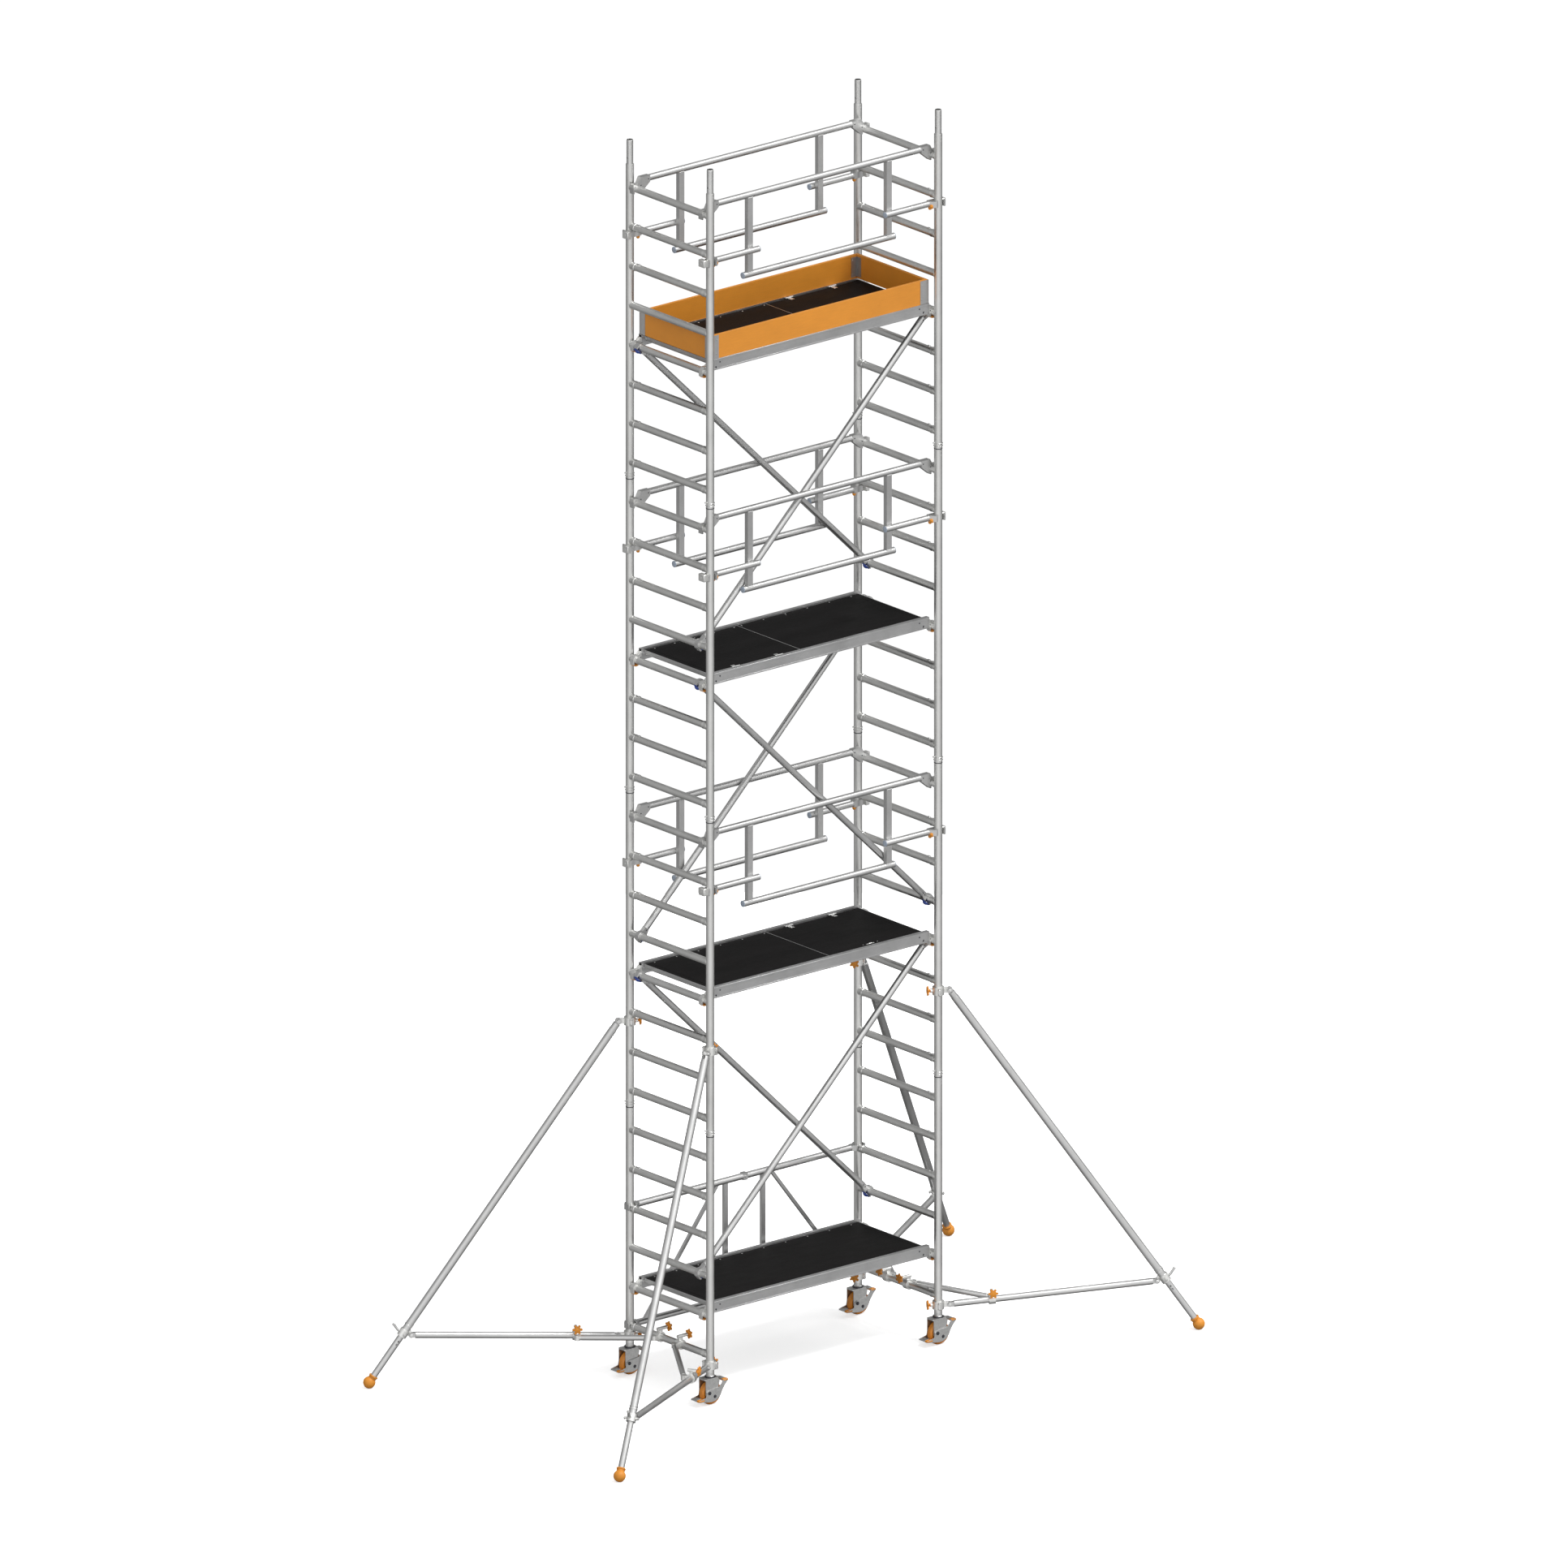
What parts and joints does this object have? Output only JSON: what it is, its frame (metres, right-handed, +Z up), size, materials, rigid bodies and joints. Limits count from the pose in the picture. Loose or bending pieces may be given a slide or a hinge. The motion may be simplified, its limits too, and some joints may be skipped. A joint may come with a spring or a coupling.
{
  "type": "mobile tower scaffold",
  "caption": "Tall narrow mobile scaffold tower with ladder frames, platforms with hatches, guardrails, toe boards, braked castors and outriggers.",
  "frame": {"origin": "on the floor at the centre of the tower", "axes": "+X along the platforms, +Y to the back, +Z up"},
  "size_m": [4.6462, 2.43, 7.86],
  "materials": {
    "ladder_aluminium": "extruded",
    "rail_aluminium": "extruded",
    "guard_aluminium": "extruded",
    "cast_aluminium": "cast",
    "zinc_steel": "zinc plated",
    "galvanised_steel": "galvanised",
    "phenolic_board": "film-faced",
    "toe_board": "satin",
    "orange_plastic": "moulded",
    "blue_plastic": "moulded",
    "orange_wheel": "cast",
    "orange_rubber": "moulded"
  },
  "bodies": {
    "tower": {"base_ladder_left": "ladder_aluminium", "base_ladder_right": "ladder_aluminium", "ladder_frame_1_left": "ladder_aluminium", "ladder_frame_1_right": "ladder_aluminium", "ladder_frame_2_left": "ladder_aluminium", "ladder_frame_2_right": "ladder_aluminium", "ladder_frame_3_left": "ladder_aluminium", "ladder_frame_3_right": "ladder_aluminium", "frame_spigots": "zinc_steel", "spigot_clips": "zinc_steel", "deck_frame_1": "rail_aluminium", "deck_frame_2": "rail_aluminium", "deck_frame_3": "rail_aluminium", "deck_frame_4": "rail_aluminium", "deck_boards": "phenolic_board", "deck_claws": "cast_aluminium", "deck_wind_locks": "orange_plastic", "hatch_hinges": "zinc_steel", "guardrail_2_front": "guard_aluminium", "guardrail_2_back": "guard_aluminium", "guardrail_3_front": "guard_aluminium", "guardrail_3_back": "guard_aluminium", "guardrail_4_front": "guard_aluminium", "guardrail_4_back": "guard_aluminium", "guardrail_locks": "orange_plastic", "brace_bay_1": "guard_aluminium", "brace_bay_2": "guard_aluminium", "brace_bay_3": "guard_aluminium", "brace_locks": "blue_plastic", "base_strut": "guard_aluminium", "toe_boards": "toe_board", "toe_board_brackets": "rail_aluminium", "castor_stems": "galvanised_steel", "outrigger_tubes": "guard_aluminium", "outrigger_struts": "guard_aluminium", "outrigger_couplers": "cast_aluminium", "coupler_knobs": "orange_plastic"},
    "hatch_2_leaf": {"hatch_2": "phenolic_board"},
    "hatch_3_leaf": {"hatch_3": "phenolic_board"},
    "hatch_4_leaf": {"hatch_4": "phenolic_board"},
    "castor_front_left": {"castor_fork_front_left": "galvanised_steel"},
    "wheel_front_left_body": {"wheel_front_left": "orange_wheel"},
    "brake_front_left_body": {"brake_front_left": "galvanised_steel"},
    "castor_front_right": {"castor_fork_front_right": "galvanised_steel"},
    "wheel_front_right_body": {"wheel_front_right": "orange_wheel"},
    "brake_front_right_body": {"brake_front_right": "galvanised_steel"},
    "castor_back_left": {"castor_fork_back_left": "galvanised_steel"},
    "wheel_back_left_body": {"wheel_back_left": "orange_wheel"},
    "brake_back_left_body": {"brake_back_left": "galvanised_steel"},
    "castor_back_right": {"castor_fork_back_right": "galvanised_steel"},
    "wheel_back_right_body": {"wheel_back_right": "orange_wheel"},
    "brake_back_right_body": {"brake_back_right": "galvanised_steel"},
    "leg_front_left": {"inner_leg_front_left": "guard_aluminium", "foot_front_left": "orange_rubber"},
    "leg_front_right": {"inner_leg_front_right": "guard_aluminium", "foot_front_right": "orange_rubber"},
    "leg_back_left": {"inner_leg_back_left": "guard_aluminium", "foot_back_left": "orange_rubber"},
    "leg_back_right": {"inner_leg_back_right": "guard_aluminium", "foot_back_right": "orange_rubber"}
  },
  "joints": [
    {"name": "hatch_2_hinge", "type": "hinge", "parent": "tower", "child": "hatch_2_leaf", "pos_m": [0.4625, 0.3005, 2.62], "axis": [-1, 0, 0], "range_deg": [0, 85]},
    {"name": "hatch_3_hinge", "type": "hinge", "parent": "tower", "child": "hatch_3_leaf", "pos_m": [-0.4625, -0.3005, 4.62], "axis": [1, 0, 0], "range_deg": [0, 75]},
    {"name": "hatch_4_hinge", "type": "hinge", "parent": "tower", "child": "hatch_4_leaf", "pos_m": [0.4625, 0.3005, 6.62], "axis": [-1, 0, 0], "range_deg": [0, 85]},
    {"name": "swivel_front_left", "type": "hinge", "parent": "tower", "child": "castor_front_left", "pos_m": [-0.9, -0.3775, 0.169], "axis": [0, 0, 1], "continuous": true},
    {"name": "spin_front_left", "type": "hinge", "parent": "castor_front_left", "child": "wheel_front_left_body", "pos_m": [-0.9, -0.3775, 0.075], "axis": [0, 1, 0], "continuous": true},
    {"name": "brake_pedal_front_left", "type": "hinge", "parent": "castor_front_left", "child": "brake_front_left_body", "pos_m": [-0.936, -0.3775, 0.084], "axis": [0, 1, 0], "range_deg": [0, 12]},
    {"name": "swivel_front_right", "type": "hinge", "parent": "tower", "child": "castor_front_right", "pos_m": [0.9, -0.3775, 0.169], "axis": [0, 0, 1], "continuous": true},
    {"name": "spin_front_right", "type": "hinge", "parent": "castor_front_right", "child": "wheel_front_right_body", "pos_m": [0.9, -0.3775, 0.075], "axis": [0, 1, 0], "continuous": true},
    {"name": "brake_pedal_front_right", "type": "hinge", "parent": "castor_front_right", "child": "brake_front_right_body", "pos_m": [0.864, -0.3775, 0.084], "axis": [0, 1, 0], "range_deg": [0, 12]},
    {"name": "swivel_back_left", "type": "hinge", "parent": "tower", "child": "castor_back_left", "pos_m": [-0.9, 0.3775, 0.169], "axis": [0, 0, 1], "continuous": true},
    {"name": "spin_back_left", "type": "hinge", "parent": "castor_back_left", "child": "wheel_back_left_body", "pos_m": [-0.9, 0.3775, 0.075], "axis": [0, 1, 0], "continuous": true},
    {"name": "brake_pedal_back_left", "type": "hinge", "parent": "castor_back_left", "child": "brake_back_left_body", "pos_m": [-0.936, 0.3775, 0.084], "axis": [0, 1, 0], "range_deg": [0, 12]},
    {"name": "swivel_back_right", "type": "hinge", "parent": "tower", "child": "castor_back_right", "pos_m": [0.9, 0.3775, 0.169], "axis": [0, 0, 1], "continuous": true},
    {"name": "spin_back_right", "type": "hinge", "parent": "castor_back_right", "child": "wheel_back_right_body", "pos_m": [0.9, 0.3775, 0.075], "axis": [0, 1, 0], "continuous": true},
    {"name": "brake_pedal_back_right", "type": "hinge", "parent": "castor_back_right", "child": "brake_back_right_body", "pos_m": [0.864, 0.3775, 0.084], "axis": [0, 1, 0], "range_deg": [0, 12]},
    {"name": "leg_slide_front_left", "type": "slide", "parent": "tower", "child": "leg_front_left", "axis": [-0.4926, -0.2844, -0.8225], "range_m": [-0.25, 0.2]},
    {"name": "leg_slide_front_right", "type": "slide", "parent": "tower", "child": "leg_front_right", "axis": [0.4926, -0.2844, -0.8225], "range_m": [-0.25, 0.2]},
    {"name": "leg_slide_back_left", "type": "slide", "parent": "tower", "child": "leg_back_left", "axis": [-0.4926, 0.2844, -0.8225], "range_m": [-0.25, 0.2]},
    {"name": "leg_slide_back_right", "type": "slide", "parent": "tower", "child": "leg_back_right", "axis": [0.4926, 0.2844, -0.8225], "range_m": [-0.25, 0.2]}
  ]
}
